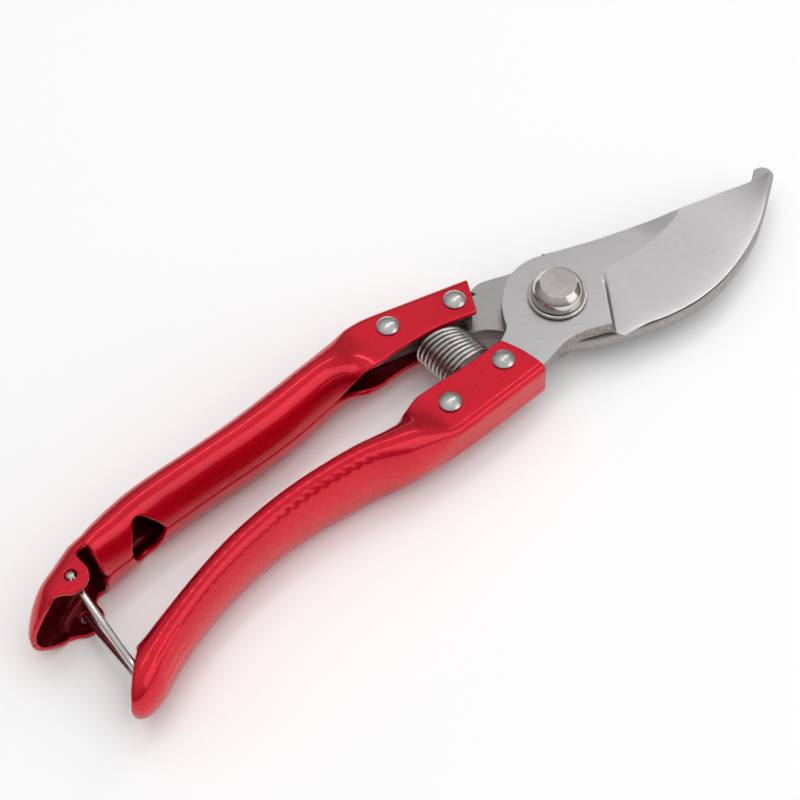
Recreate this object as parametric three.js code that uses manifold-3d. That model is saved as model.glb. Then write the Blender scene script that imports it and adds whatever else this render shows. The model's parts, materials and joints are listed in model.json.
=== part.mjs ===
// Pruning shears with pressed sheet-steel handles: millimetres, +Z up.
// Every piece is drawn in the pivot frame, whose origin is on the pivot axis between the two
// blades: +X points to the blade tip, +Y to the handle that carries the counter blade.
// The closing group then moves the pivot frame to the part's own frame.
import * as THREE from "three";
import { mergeVertices } from "three/addons/utils/BufferGeometryUtils.js";
import Module from "manifold-3d";

const wasm = await Module();
wasm.setup();

// ---- Driving dimensions ----

// Where the pivot stands in the part's frame, whose origin is under the middle of the object.
const PIVOT_X = 36.87;
const PIVOT_Y = -2.66;
const PIVOT_Z = 10.3;

// Blade plates: two flat plates that slide on each other at z = 0.
const PLATE_TOP = 3.7;
const PLATE_GAP = 0.15;
const EDGE_Z = 0.45;
const TIP_X = 64.4;
const TIP_Y = -7.75;
const BLADE_DISC_R = 12.3;
const PIVOT_HOLE_R = 5.4;

// Sheet-steel handles: a flat channel in front, rolled into a tube for the grip.
const SHEET = 1.3;
const CHANNEL_H = 5.3;
const CHANNEL_BEND_R = 2;
const GRIP_H = 10.3;
const SEAM_GAP = 0.5;
const TAIL_BEND_R = 5;

// Pivot screw, washers and nut.
const SHANK_R = 5;
const THREAD_R = 4;
const WASHER_R = 6.8;
const CAP_R = 6.2;
const CAP_FLAT_R = 4.15;
const CAP_TOP = 8.9;
const NUT_FLATS = 13;
const FIT_GAP = 0.3;
const HOLE_SIDES = 16;
const ROUND_SIDES = 32;

// Rivets through the handle walls: [x, y] of each.
const RIVET_R = 2.65;
const RIVET_SHANK_R = 1.7;
const RIVET_HEAD_H = 1.1;
const RIVETS = {
  upper_front_rivet: [-18.2, 14.75],
  upper_rear_rivet: [-34, 19.95],
  lower_front_rivet: [-21.8, -4.65],
  lower_rear_rivet: [-38, -4.55],
};

// Return spring between the two handles.
const SPRING_X = -26.5;
const SPRING_R = 5.8;
const SPRING_WIRE_R = 0.45;
const SPRING_TURNS = 9;
const SPRING_LOW = 0.95;
const SPRING_HIGH = 11.2;
const SPRING_LOW_TILT = THREE.MathUtils.degToRad(3);
const SPRING_HIGH_TILT = THREE.MathUtils.degToRad(18);

// Lock wire hung in the two ears at the rear of the upper handle.
const PIN_X = -125.3;
const PIN_Y = 16.7;
const PIN_HOLE_R = 1.3;
const WIRE_R = 0.85;
const LOOP_END = [-127.4, -6.6];
const LOOP_HALF = 3.4;

// The ears, and the slot in front of them.
const EAR_R = 4.25;
const SLOT_X = -119.95;
const SLOT_HALF = 1.65;
const UPPER_SLOT_TOP = 20.9;
const LOWER_SLOT_TOP = 19;

// ---- Materials ----

const RED = new THREE.MeshStandardMaterial({ color: 0xc02436, roughness: 0.25, metalness: 0.2 });
const BLADE_STEEL = new THREE.MeshStandardMaterial({ color: 0xb6b4b6, roughness: 0.4, metalness: 0.9 });
const DARK_STEEL = new THREE.MeshStandardMaterial({ color: 0x4b4648, roughness: 0.6, metalness: 0.7 });
const NICKEL = new THREE.MeshStandardMaterial({ color: 0xc8bfb9, roughness: 0.15, metalness: 1 });
const RIVET_STEEL = new THREE.MeshStandardMaterial({ color: 0xb0aca8, roughness: 0.4, metalness: 0.9 });
const WIRE_STEEL = new THREE.MeshStandardMaterial({ color: 0xc9c6c2, roughness: 0.3, metalness: 0.9 });

// ---- Helpers ----

// Half the height of a cut that passes right through, and the edge length that a cut leaves out.
const THROUGH = 20;
const SLIVER = 0.02;

const flat = (points) => points.map(([x, y]) => new THREE.Vector2(x, y));

// A smooth open curve through hand-picked points, as a short polyline.
function smooth(points, count) {
  return new THREE.SplineCurve(flat(points)).getPoints(count).map((p) => [p.x, p.y]);
}

// Points on a circle about the pivot frame's (cx, cy), from one angle to another in degrees.
function arc(cx, cy, radius, from, to, count) {
  return Array.from({ length: count + 1 }, (_, i) => {
    const turn = THREE.MathUtils.degToRad(from + ((to - from) * i) / count);
    return [cx + radius * Math.cos(turn), cy + radius * Math.sin(turn)];
  });
}

function toSolid(geometry) {
  const bare = new THREE.BufferGeometry();
  bare.setAttribute("position", geometry.getAttribute("position"));
  if (geometry.index) bare.setIndex(geometry.index);
  const merged = mergeVertices(bare, 1e-4);
  return new wasm.Manifold(
    new wasm.Mesh({
      numProp: 3,
      vertProperties: merged.getAttribute("position").array,
      triVerts: new Uint32Array(merged.index.array),
    }),
  );
}

function toGeometry(solid) {
  const mesh = solid.asOriginal().simplify(SLIVER).getMesh();
  const geometry = new THREE.BufferGeometry();
  geometry.setAttribute("position", new THREE.BufferAttribute(mesh.vertProperties, 3));
  geometry.setIndex(new THREE.BufferAttribute(mesh.triVerts, 1));
  geometry.computeVertexNormals();
  return geometry;
}

// A flat plate or a cutting prism: an outline raised from z = low to z = high.
function plate(outline, low, high) {
  const shape = new THREE.Shape(flat(outline));
  const geometry = new THREE.ExtrudeGeometry(shape, { depth: high - low, bevelEnabled: false });
  geometry.translate(0, 0, low);
  return toSolid(geometry);
}

// A cut with the given outline, and a round one.
const cutThrough = (outline) => plate(outline, -THROUGH, THROUGH);
function hole(x, y, radius, sides = HOLE_SIDES) {
  return cutThrough(arc(x, y, radius, 0, 360 - 360 / sides, sides - 1));
}

function subtractAll(solid, cuts) {
  return cuts.reduce((rest, cut) => rest.subtract(cut), solid);
}

// The two rivet holes of the upper or the lower handle.
function rivetHoles(side) {
  return ["front", "rear"].map((end) => hole(...RIVETS[`${side}_${end}_rivet`], RIVET_SHANK_R + FIT_GAP));
}

// A turned piece about the Z axis through (x, y), from [radius, z] pairs that start and end on it.
function turned(profile, x, y, sides) {
  const geometry = new THREE.LatheGeometry(flat(profile), sides);
  geometry.rotateX(Math.PI / 2);
  geometry.translate(x, y, 0);
  return geometry;
}

// Smooth interpolation of one column of a table whose first column falls from front to rear.
function track(rows, column) {
  const slope = rows.map((row, i) => {
    const before = rows[Math.max(i - 1, 0)];
    const after = rows[Math.min(i + 1, rows.length - 1)];
    return (after[column] - before[column]) / (after[0] - before[0]);
  });
  return (x) => {
    const found = rows.findIndex((row) => row[0] <= x);
    const i = found < 1 ? (found < 0 ? rows.length - 1 : 1) : found;
    const a = rows[i - 1];
    const b = rows[i];
    const span = b[0] - a[0];
    const t = (x - a[0]) / span;
    const t2 = t * t;
    const t3 = t2 * t;
    return (
      a[column] * (2 * t3 - 3 * t2 + 1) +
      b[column] * (3 * t2 - 2 * t3) +
      slope[i - 1] * span * (t3 - 2 * t2 + t) +
      slope[i] * span * (t3 - t2)
    );
  };
}

// ---- Pressed sheet handles ----

// Steps round one section: along a wall, round a bend, and down the web.
const WALL_STEPS = 5;
const BEND_STEPS = 2;
const WEB_STEPS = 4;
const SECTION_STEPS = 2 * (WALL_STEPS + BEND_STEPS) + WEB_STEPS;

// One point of a U-shaped channel's outer face, as [y, z], for step j round the section.
function channelPoint(web, edge, height, bendR, j) {
  const side = Math.sign(web - edge);
  const half = SECTION_STEPS / 2;
  const s = half - Math.abs(j - half);
  const up = j <= half ? 1 : -1;
  if (s <= WALL_STEPS) {
    const along = s / WALL_STEPS;
    return [edge + (web - side * bendR - edge) * along, up * height];
  }
  if (s <= WALL_STEPS + BEND_STEPS) {
    const turn = (((s - WALL_STEPS) / BEND_STEPS) * Math.PI) / 2;
    return [web - side * bendR * (1 - Math.sin(turn)), up * (height - bendR * (1 - Math.cos(turn)))];
  }
  const down = (s - WALL_STEPS - BEND_STEPS) / (WEB_STEPS / 2);
  return [web, up * (height - bendR) * (1 - down)];
}

// The same for an oval tube with a narrow seam on the side away from the web.
function tubePoint(web, edge, height, j) {
  const start = Math.asin(Math.min(SEAM_GAP / 2 / height, 0.9));
  const turn = start + ((2 * Math.PI - 2 * start) * j) / SECTION_STEPS;
  const middle = (web + edge) / 2;
  return [middle + ((edge - web) / 2) * Math.cos(turn), height * Math.sin(turn)];
}

// A handle blank from rows of [x, web y, edge y, half height, bend radius, roll], front to rear:
// roll 0 is the channel and roll 1 the tube. The blank is a box whose corners follow the sheet.
function pressedSheet(rows, stops) {
  const side = Math.sign(rows[0][1] - rows[0][2]);
  const columns = [1, 2, 3, 4, 5].map((column) => track(rows, column));
  const outer = (x, j) => {
    const [web, edge, height, bendR, roll] = columns.map((column) => column(x));
    const mix = THREE.MathUtils.clamp(roll, 0, 1);
    const open = channelPoint(web, edge, height, Math.min(bendR, height * 0.98), j);
    const closed = tubePoint(web, edge, height, j);
    const y = open[0] + (closed[0] - open[0]) * mix;
    const z = open[1] + (closed[1] - open[1]) * mix;
    return new THREE.Vector3(x, y, side * z);
  };
  const front = rows[0][0];
  const rear = rows[rows.length - 1][0];
  const normal = (x, j) => {
    const dx = 0.02;
    const dj = 0.4;
    const ahead = outer(Math.min(x + dx, front), j);
    const behind = outer(Math.max(x - dx, rear), j);
    const next = outer(x, Math.min(j + dj, SECTION_STEPS));
    const last = outer(x, Math.max(j - dj, 0));
    return ahead.sub(behind).cross(next.sub(last)).normalize();
  };
  const sections = stops.length - 1;
  const geometry = new THREE.BoxGeometry(1, 1, 1, sections, SECTION_STEPS, 1);
  geometry.deleteAttribute("normal");
  geometry.deleteAttribute("uv");
  const position = geometry.getAttribute("position");
  for (let i = 0; i < position.count; i++) {
    const x = stops[Math.round((0.5 - position.getX(i)) * sections)];
    const j = Math.round((position.getY(i) + 0.5) * SECTION_STEPS);
    const point = outer(x, j);
    if (position.getZ(i) < 0) point.addScaledVector(normal(x, j), -SHEET);
    position.setXYZ(i, point.x, point.y, point.z);
  }
  return toSolid(geometry);
}

function upperHandle() {
  const rows = [
    [-8, 16.5, 6, CHANNEL_H, CHANNEL_BEND_R, 0],
    [-16.6, 19.4, 8.8, CHANNEL_H, CHANNEL_BEND_R, 0],
    [-26.6, 22.8, 12.1, CHANNEL_H, CHANNEL_BEND_R, 0],
    [-36.6, 26.1, 13.75, CHANNEL_H, CHANNEL_BEND_R, 0],
    [-41, 26.8, 13.9, CHANNEL_H, CHANNEL_BEND_R, 0],
    [-45, 26.6, 14.4, 6.6, 2.6, 0.3],
    [-49, 26.5, 15.2, 8.4, 3.5, 0.75],
    [-54, 26.2, 15.4, 9.6, 4, 1],
    [-66.6, 25.8, 14.85, 10.1, 4, 1],
    [-76.6, 25.8, 15.15, 10.1, 4, 1],
    [-86.6, 26.3, 15.95, 10.1, 4, 1],
    [-96.6, 27.2, 16.5, 10.1, 4, 1],
    [-104, 27.5, 16.8, 10.1, 4, 1],
    [-111, 27, 16.3, 10.1, TAIL_BEND_R, 1],
    [-117.4, 25.7, 16.2, 10.2, TAIL_BEND_R, 1],
    [-121.6, 24.2, 14, GRIP_H, TAIL_BEND_R, 0],
    [-126.6, 22.4, 12, GRIP_H, TAIL_BEND_R, 0],
    [-131, 20.8, 11, GRIP_H, TAIL_BEND_R, 0],
    [-134.4, 19.5, 11, 8.1, TAIL_BEND_R, 0],
    [-137.1, 17.9, 11, 5.8, TAIL_BEND_R, 0],
    [-138.6, 16.3, 11, 3.9, 3.8, 0],
    [-139.2, 14.6, 11, 2.7, 2.6, 0],
  ];
  const stops = [
    ...[-8, -16.6, -26.6, -33, -38, -41, -43, -45, -47, -49, -51.5, -54, -60, -66.6, -76.6],
    ...[-86.6, -96.6, -104, -111, -117.4, -119.5, -121.6, -126.6, -131, -134.4, -137.1, -138.6, -139.2],
  ];
  const front = [
    [-16.8, 5],
    [-16.8, 8.85],
    [-11.7, 17.75],
    [-11.7, 30],
    [0, 30],
    [0, 5],
  ];
  // The ears are the two lobes that this cut leaves round the pin holes.
  const mouth = [
    [-150, 0],
    [SLOT_X + SLOT_HALF, 0],
    ...arc(SLOT_X, LOWER_SLOT_TOP - SLOT_HALF, SLOT_HALF, 0, 180, 8),
    [SLOT_X - SLOT_HALF, 17.2],
    ...arc(-125.7, 16.9, EAR_R, -15, -140, 8),
    [-130.3, 14.8],
    [-131.2, 15.1],
    [-133.5, 14.6],
    [-150, 14.3],
  ];
  const slotEnd = [
    [SLOT_X - SLOT_HALF, 17.5],
    [SLOT_X + SLOT_HALF, 17.5],
    ...arc(SLOT_X, UPPER_SLOT_TOP - SLOT_HALF, SLOT_HALF, 0, 180, 8),
  ];
  const windowCut = [
    [-110.7, 10],
    [-110.7, 16.3],
    ...smooth([[-108.8, 17.7], [-107.9, 18.6], [-106.5, 19], [-105.3, 18.6], [-103.9, 17.7]], 8),
    [-101.8, 16.7],
    [-101.8, 10],
  ];
  return subtractAll(pressedSheet(rows, stops), [
    cutThrough(front),
    cutThrough(mouth),
    plate(slotEnd, GRIP_H / 2, THROUGH),
    cutThrough(windowCut),
    hole(PIN_X, PIN_Y, PIN_HOLE_R),
    ...rivetHoles("upper"),
  ]);
}

function lowerHandle() {
  const rows = [
    [-12, -12.75, -0.2, CHANNEL_H, CHANNEL_BEND_R, 0],
    [-26.6, -12.3, 0.05, CHANNEL_H, CHANNEL_BEND_R, 0],
    [-36.6, -11.95, 1.15, CHANNEL_H, CHANNEL_BEND_R, 0],
    [-42, -11.6, 1.6, CHANNEL_H, CHANNEL_BEND_R, 0],
    [-46, -11.3, 1.1, 6.8, 2.6, 0.35],
    [-50, -10.9, 0.6, 8.4, 3.5, 0.8],
    [-54, -10.1, 0.9, 9.3, 4, 1],
    [-61.6, -7.4, 2.1, GRIP_H, 4, 1],
    [-70, -5.6, 3.3, GRIP_H, 4, 1],
    [-78, -4.4, 4.2, 9.9, 4, 1],
    [-86.6, -3.9, 4.5, 9.3, 4, 1],
    [-96.6, -4.4, 3.8, 9, 4, 1],
    [-106.6, -5.95, 2.05, 8.7, 4, 1],
    [-116.6, -8.8, -0.15, 8.4, 4, 1],
    [-121.6, -10.8, -1.3, 8.2, 4, 1],
    [-125.6, -12.7, -2.1, 8, 4, 1],
    [-129, -13.5, -4.2, 7.3, 4, 1],
    [-131.4, -13.5, -7, 5.8, 4, 1],
    [-133, -12.7, -9.3, 3.8, 4, 1],
    [-133.7, -11.6, -10.7, 1, 4, 1],
  ];
  const stops = [
    ...[-12, -26.6, -36.6, -42, -44, -46, -48, -50, -52, -54, -57.5, -61.6, -70, -78, -86.6],
    ...[-96.6, -106.6, -116.6, -121.6, -125.6, -129, -131.4, -133, -133.7],
  ];
  const front = [
    [-18.3, 8],
    [-18.3, -0.65],
    [-17.5, -3.05],
    [-16.8, -5.55],
    [-16.3, -9.15],
    [-16, -20],
    [0, -20],
    [0, 8],
  ];
  const mouth = [
    [-124.6, 5],
    ...arc(-126.1, -3, 1.5, 0, -45, 3),
    [-131.8, -10.1],
    [-133, -11.4],
    [-140, -11.4],
    [-140, 5],
  ];
  const cuts = [cutThrough(front), cutThrough(mouth), ...rivetHoles("lower")];
  return subtractAll(pressedSheet(rows, stops), cuts);
}

// ---- Blade plates ----

// The spine from the tip to the round of the pivot disc.
const SPINE = [
  [TIP_X, TIP_Y],
  [57.7, -7.1],
  [48.4, -4.6],
  [38.4, -1.8],
  [28.4, 1.4],
  [18.4, 5.2],
  [10, 9],
  [6, 11],
];

// The cutting edge from heel to tip.
const EDGE = [
  [4.8, -16.65],
  [10.8, -17.85],
  [17, -20],
  [25, -21.5],
  [34, -21.3],
  [43.4, -19.25],
  [52, -15.85],
  [58.4, -11.95],
  [TIP_X, TIP_Y],
];

// The tang of the cutting blade inside the lower handle, with the spring's nib on its upper side.
const LOWER_TANG = [
  [-18.3, 0.1],
  [-20.2, -1],
  [-23.5, -1],
  [-23.5, 2.6],
  [-29.5, 2.6],
  [-29.5, -1],
  [-42.5, -0.9],
  ...arc(-42.5, -4.8, 3.9, 90, 270, 6),
  [-20, -9.4],
];

// The wedge that the grinding wheel took: three rows of points, from the cutting edge up to the
// grind line, closed above the blade.
function grind() {
  const edge = track([...EDGE].reverse(), 1);
  const rootRows = [
    [70, -6],
    [52, -3.6],
    [39.1, -2],
    [33.4, -3.6],
    [23.4, -3.95],
    [17.7, -3.2],
    [12.8, -1.85],
  ];
  const root = track(rootRows, 1);
  const heelRows = [
    [12.8, -1.85],
    [9.4, -5.35],
    [6.5, -9.05],
    [3.4, -14.2],
  ];
  const heel = track(heelRows, 1);
  const clear = 10;
  const stops = [2.5, 3.4, 5, 6.5, 8, 9.4, 11, 12.8, 17.7, 23.4, 28, 33.4, 39.1, 45, 52, 58, TIP_X, 70];
  const rows = stops.map((x) => {
    const low = edge(Math.min(Math.max(x, 4.8), TIP_X)) - 2;
    const high = x < 12.8 ? heel(x) : root(x);
    const full = root(Math.max(x, 12.8)) - low;
    const share = (high - low) / full;
    const thin = x > 39.1 ? 1 - (0.55 * (x - 39.1)) / (TIP_X - 39.1) : 1;
    const rise = (PLATE_TOP - EDGE_Z) * thin;
    const z = (part) => EDGE_Z - 0.35 + (rise + 0.35) * part ** 1.15;
    return [
      [x, low, z(0)],
      [x, (low + high) / 2, z(share / 2)],
      [x, high, z(share)],
      [x, high, clear],
      [x, (low + high) / 2, clear],
      [x, low, clear],
    ];
  });
  const around = rows[0].length;
  const index = [];
  for (let i = 0; i + 1 < rows.length; i++) {
    for (let k = 0; k < around; k++) {
      const a = i * around + k;
      const b = i * around + ((k + 1) % around);
      index.push(a, b, b + around, a, b + around, a + around);
    }
  }
  const last = (rows.length - 1) * around;
  for (const [a, b, c] of [[0, 1, 4], [1, 2, 3], [1, 3, 4], [0, 4, 5]]) {
    index.push(a, c, b);
    index.push(last + a, last + b, last + c);
  }
  const geometry = new THREE.BufferGeometry();
  geometry.setAttribute("position", new THREE.Float32BufferAttribute(rows.flat(2), 3));
  geometry.setIndex(index);
  return toSolid(geometry);
}

function cuttingBlade() {
  const outline = [
    ...smooth(SPINE, 14),
    ...arc(0, 0, BLADE_DISC_R, 58, 118, 5),
    ...smooth([[-7.5, 9.8], [-10.6, 7.35], [-12.9, 4.35], [-14.6, 1.8], [-18.3, 0.1]], 6).slice(0, -1),
    ...LOWER_TANG,
    ...smooth([[-16.5, -10.9], [-13.2, -10.65], [-6.6, -9.95], [-1.6, -11.35], [3.4, -13.85]], 8),
    ...smooth(EDGE, 16).slice(0, -1),
  ];
  const blank = plate(outline, PLATE_GAP, PLATE_TOP);
  return subtractAll(blank, [grind(), hole(0, 0, PIVOT_HOLE_R, ROUND_SIDES), ...rivetHoles("lower")]);
}

// The rivet line of the upper handle's channel, and a point set off from it.
const UPPER_LINE = new THREE.Vector2(
  RIVETS.upper_rear_rivet[0] - RIVETS.upper_front_rivet[0],
  RIVETS.upper_rear_rivet[1] - RIVETS.upper_front_rivet[1],
).normalize();
function upperPoint(along, across) {
  const { x, y } = UPPER_LINE;
  const [startX, startY] = RIVETS.upper_front_rivet;
  return [startX + x * along + y * across, startY + y * along - x * across];
}
const TANG_OUT = 3;
const TANG_IN = -3.4;
const SPACER_IN = -4.6;
const TANG_END = 23;
const NIB_AT = [4.1, 9.7];
const NIB_IN = -7.4;

function counterBlade() {
  const outline = [
    ...arc(62.85, -7.05, 2.6, -60, 95, 8),
    ...smooth([[60.2, -6], [52, -9.5], [42, -12.3], [31, -13.2], [21, -10.8], [13.5, -5], [12, 3]], 16),
    ...smooth([[11, 7.2], [6, 11.6], [-0.6, 14.1], [-5.2, 16.15], [-8, 17.25], [-10.2, 17.2]], 8),
    [-11.3, 16.9],
    upperPoint(-6.6, TANG_OUT),
    upperPoint(0, TANG_OUT),
    upperPoint(TANG_END, TANG_OUT),
    upperPoint(TANG_END + 1.5, 0),
    upperPoint(TANG_END, TANG_IN),
    upperPoint(NIB_AT[1], TANG_IN),
    upperPoint(NIB_AT[1] - 0.6, NIB_IN),
    upperPoint(NIB_AT[0] + 0.6, NIB_IN),
    upperPoint(NIB_AT[0], TANG_IN),
    [-21.2, 10.7],
    [-19.7, 9.3],
    ...smooth([[-18.9, 8.1], [-16.1, 6.4], [-13.6, 3.2], [-12.4, 0], [-11, -5], [-5.4, -9.3]], 8),
    ...smooth([[-0.2, -12.9], [5.5, -15.8], [14, -19.4], [25, -22], [34, -21.8], [43.6, -19.7]], 10),
    ...smooth([[49.3, -17.7], [56.4, -13.9], [64.1, -9.3]], 5).slice(0, -1),
  ];
  const blank = plate(outline, -PLATE_TOP, -PLATE_GAP);
  return subtractAll(blank, [hole(0, 0, PIVOT_HOLE_R, ROUND_SIDES), ...rivetHoles("upper")]);
}

// The packing plate that fills the other half of each channel beside the tang.
function upperSpacer() {
  const outline = [
    upperPoint(-3.4, TANG_OUT),
    upperPoint(TANG_END, TANG_OUT),
    upperPoint(TANG_END, SPACER_IN),
    upperPoint(1, SPACER_IN),
    upperPoint(-0.5, SPACER_IN - 1.4),
    upperPoint(-2.2, SPACER_IN),
  ];
  return subtractAll(plate(outline, PLATE_GAP, PLATE_TOP), rivetHoles("upper"));
}

function lowerSpacer() {
  const outline = [[-17.9, -1.2], [-42.5, -0.9], ...arc(-42.5, -4.8, 3.9, 90, 270, 6), [-17, -9.4]];
  return subtractAll(plate(outline, -PLATE_TOP, -PLATE_GAP), rivetHoles("lower"));
}

// ---- Turned pieces ----

const WASHER_LOW = PLATE_TOP + FIT_GAP;
const WASHER_HIGH = WASHER_LOW + 0.8;
const CAP_LOW = WASHER_HIGH + FIT_GAP;
const BACK_WASHER_HIGH = -PLATE_TOP - FIT_GAP;
const BACK_WASHER_LOW = BACK_WASHER_HIGH - 0.9;
const NUT_HIGH = BACK_WASHER_LOW - FIT_GAP;
const NUT_LOW = -GRIP_H;
const NECK_Z = -PLATE_TOP + 0.4;

function pivotBolt() {
  const dome = smooth([[CAP_R, CAP_LOW + 0.35], [CAP_R - 0.6, CAP_TOP - 1.5], [CAP_FLAT_R, CAP_TOP]], 5);
  const profile = [
    [0, NUT_LOW + FIT_GAP],
    [THREAD_R, NUT_LOW + FIT_GAP],
    [THREAD_R, NECK_Z],
    [SHANK_R, NECK_Z],
    [SHANK_R, CAP_LOW],
    [CAP_R, CAP_LOW],
    ...dome,
    [0, CAP_TOP],
  ];
  return turned(profile, 0, 0, ROUND_SIDES);
}

function ring(inner, outer, low, high) {
  const profile = [
    [inner, low],
    [outer, low],
    [outer, high],
    [inner, high],
    [inner, low],
  ];
  return turned(profile, 0, 0, ROUND_SIDES);
}

function pivotNut() {
  const corner = NUT_FLATS / 2 / Math.cos(Math.PI / 6);
  const blank = plate(arc(0, 0, corner, 0, 300, 5), NUT_LOW, NUT_HIGH);
  return blank.subtract(hole(0, 0, THREAD_R + FIT_GAP, ROUND_SIDES));
}

function rivet([x, y]) {
  const under = CHANNEL_H + FIT_GAP;
  const head = arc(0, under - 2.65, 3.75, 45, 90, 4).map(([r, z]) => [Math.max(r, 0), z]);
  const upper = [[RIVET_SHANK_R, under], [RIVET_R, under], ...head.slice(1, -1), [0, under + RIVET_HEAD_H]];
  const lower = upper.map(([r, z]) => [r, -z]).reverse();
  return turned([...lower, ...upper], x, y, 20);
}

// ---- Wire pieces ----

// A round wire along a curve.
function wire(curve, radius, steps, sides) {
  const section = new THREE.Shape(flat(arc(0, 0, radius, 0, 360 - 360 / sides, sides - 1)));
  return new THREE.ExtrudeGeometry(section, { steps, extrudePath: curve, curveSegments: 1 });
}

// A coil whose turns fan out, because the two seats aren't parallel.
class FanHelix extends THREE.Curve {
  getPoint(t, target = new THREE.Vector3()) {
    const turn = 2 * Math.PI * SPRING_TURNS * t;
    const across = SPRING_R * Math.cos(turn);
    const tilt = SPRING_LOW_TILT + (SPRING_HIGH_TILT - SPRING_LOW_TILT) * t;
    const height = SPRING_LOW + (SPRING_HIGH - SPRING_LOW) * t;
    return target.set(
      SPRING_X + across * Math.cos(tilt),
      height - across * Math.sin(tilt),
      SPRING_R * Math.sin(turn),
    );
  }
}

// Half of the lock wire, from the ear down to the middle of the loop's end, then mirrored.
function lockWire() {
  const [endX, endY] = LOOP_END;
  const legTop = GRIP_H - SHEET - WIRE_R - FIT_GAP;
  const half = [
    [PIN_X, PIN_Y, GRIP_H - 0.2],
    [PIN_X, PIN_Y, GRIP_H - SHEET + 0.1],
    [PIN_X - 0.03, PIN_Y - 0.3, legTop + 0.35],
    [PIN_X - 0.12, PIN_Y - 1.2, legTop - 0.05],
    [PIN_X - 0.4, PIN_Y - 4, legTop - 0.6],
    [PIN_X - 1.2, PIN_Y - 12, legTop - 2.1],
    [endX + 0.15, endY + 3, LOOP_HALF + 0.35],
    [endX + 0.03, endY + 1.1, LOOP_HALF],
    [endX, endY + 0.25, LOOP_HALF - 0.45],
    [endX, endY, LOOP_HALF - 1.4],
  ];
  const other = half.map(([x, y, z]) => [x, y, -z]).reverse();
  const points = [...half, ...other].map((p) => new THREE.Vector3(...p));
  return wire(new THREE.CatmullRomCurve3(points, false, "centripetal"), WIRE_R, 72, 8);
}

// ---- Assembly ----

const group = new THREE.Group();
const pivotFrame = new THREE.Group();
pivotFrame.position.set(PIVOT_X, PIVOT_Y, PIVOT_Z);
group.add(pivotFrame);

function add(name, shape, material) {
  const geometry = shape.isBufferGeometry ? shape : toGeometry(shape);
  const mesh = new THREE.Mesh(geometry, material);
  mesh.name = name;
  pivotFrame.add(mesh);
}

add("upper_handle", upperHandle(), RED);
add("lower_handle", lowerHandle(), RED);
add("cutting_blade", cuttingBlade(), BLADE_STEEL);
add("counter_blade", counterBlade(), BLADE_STEEL);
add("upper_spacer_plate", upperSpacer(), DARK_STEEL);
add("lower_spacer_plate", lowerSpacer(), DARK_STEEL);
add("pivot_bolt", pivotBolt(), NICKEL);
add("pivot_washer", ring(SHANK_R + FIT_GAP, WASHER_R, WASHER_LOW, WASHER_HIGH), NICKEL);
add("back_washer", ring(THREAD_R + FIT_GAP, WASHER_R + 1, BACK_WASHER_LOW, BACK_WASHER_HIGH), NICKEL);
add("pivot_nut", pivotNut(), NICKEL);
for (const [name, place] of Object.entries(RIVETS)) {
  add(name, rivet(place), RIVET_STEEL);
}
add("return_spring", wire(new FanHelix(), SPRING_WIRE_R, 114, 6), WIRE_STEEL);
add("lock_wire", lockWire(), WIRE_STEEL);

export default group;
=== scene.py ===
# Pruning shears: fine meshes, materials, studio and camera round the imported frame.
# All shapes are drawn in millimetres in the pivot frame: the origin is on the pivot axis between
# the two blades, +X points to the blade tip and +Z up. place() turns them to the part's frame.
import json
import math

import bmesh
import bpy
import numpy as np
from mathutils import Matrix, Vector


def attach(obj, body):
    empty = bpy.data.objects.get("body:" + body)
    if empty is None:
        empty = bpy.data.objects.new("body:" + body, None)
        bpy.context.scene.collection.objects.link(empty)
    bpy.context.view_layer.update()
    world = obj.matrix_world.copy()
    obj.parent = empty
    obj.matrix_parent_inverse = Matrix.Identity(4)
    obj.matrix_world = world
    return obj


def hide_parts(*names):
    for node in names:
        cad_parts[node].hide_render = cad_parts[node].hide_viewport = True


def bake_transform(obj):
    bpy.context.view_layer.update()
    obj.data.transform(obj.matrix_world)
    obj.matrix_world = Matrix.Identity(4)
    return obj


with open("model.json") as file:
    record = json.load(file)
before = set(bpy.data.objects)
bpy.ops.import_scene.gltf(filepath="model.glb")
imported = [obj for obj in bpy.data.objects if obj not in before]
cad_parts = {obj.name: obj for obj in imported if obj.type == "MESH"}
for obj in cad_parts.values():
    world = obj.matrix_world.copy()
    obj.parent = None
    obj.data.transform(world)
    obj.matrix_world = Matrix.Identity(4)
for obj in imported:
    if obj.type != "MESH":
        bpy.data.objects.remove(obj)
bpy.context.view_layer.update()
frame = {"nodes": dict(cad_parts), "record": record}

JOINTS = {joint["name"]: joint for joint in frame["record"]["behaviour"]["joints"]}
PIVOT = np.array(JOINTS["blade_pivot"]["pos_m"])
MM = 0.001

HOOK_SIDE = "hook_side"
BLADE_SIDE = "blade_side"
LOCK = "lock_wire"

# ---- Dimensions, as in the CAD ----

PLATE_TOP = 3.7
PLATE_GAP = 0.15
EDGE_Z = 0.45
TIP = (64.4, -7.75)
DISC_R = 12.3
PIVOT_HOLE_R = 5.4
SHEET = 1.3
CHANNEL_H = 5.3
BEND_R = 2
GRIP_H = 10.3
SEAM_GAP = 0.5
TAIL_BEND_R = 5
SHANK_R = 5
THREAD_R = 4
WASHER_R = 6.8
CAP_R = 6.2
CAP_FLAT_R = 4.15
CAP_TOP = 8.9
NUT_FLATS = 13
GAP = 0.3
RIVET_R = 2.65
RIVET_SHANK_R = 1.7
RIVET_HEAD_H = 1.1
RIVETS = {
    "upper_front_rivet": (-18.2, 14.75),
    "upper_rear_rivet": (-34, 19.95),
    "lower_front_rivet": (-21.8, -4.65),
    "lower_rear_rivet": (-38, -4.55),
}
SPRING_X = -26.5
SPRING_R = 5.8
SPRING_WIRE_R = 0.45
SPRING_TURNS = 9
SPRING_LOW = 0.95
SPRING_HIGH = 11.2
SPRING_LOW_TILT = math.radians(3)
SPRING_HIGH_TILT = math.radians(18)
PIN = (-125.3, 16.7)
PIN_HOLE_R = 1.3
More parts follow.
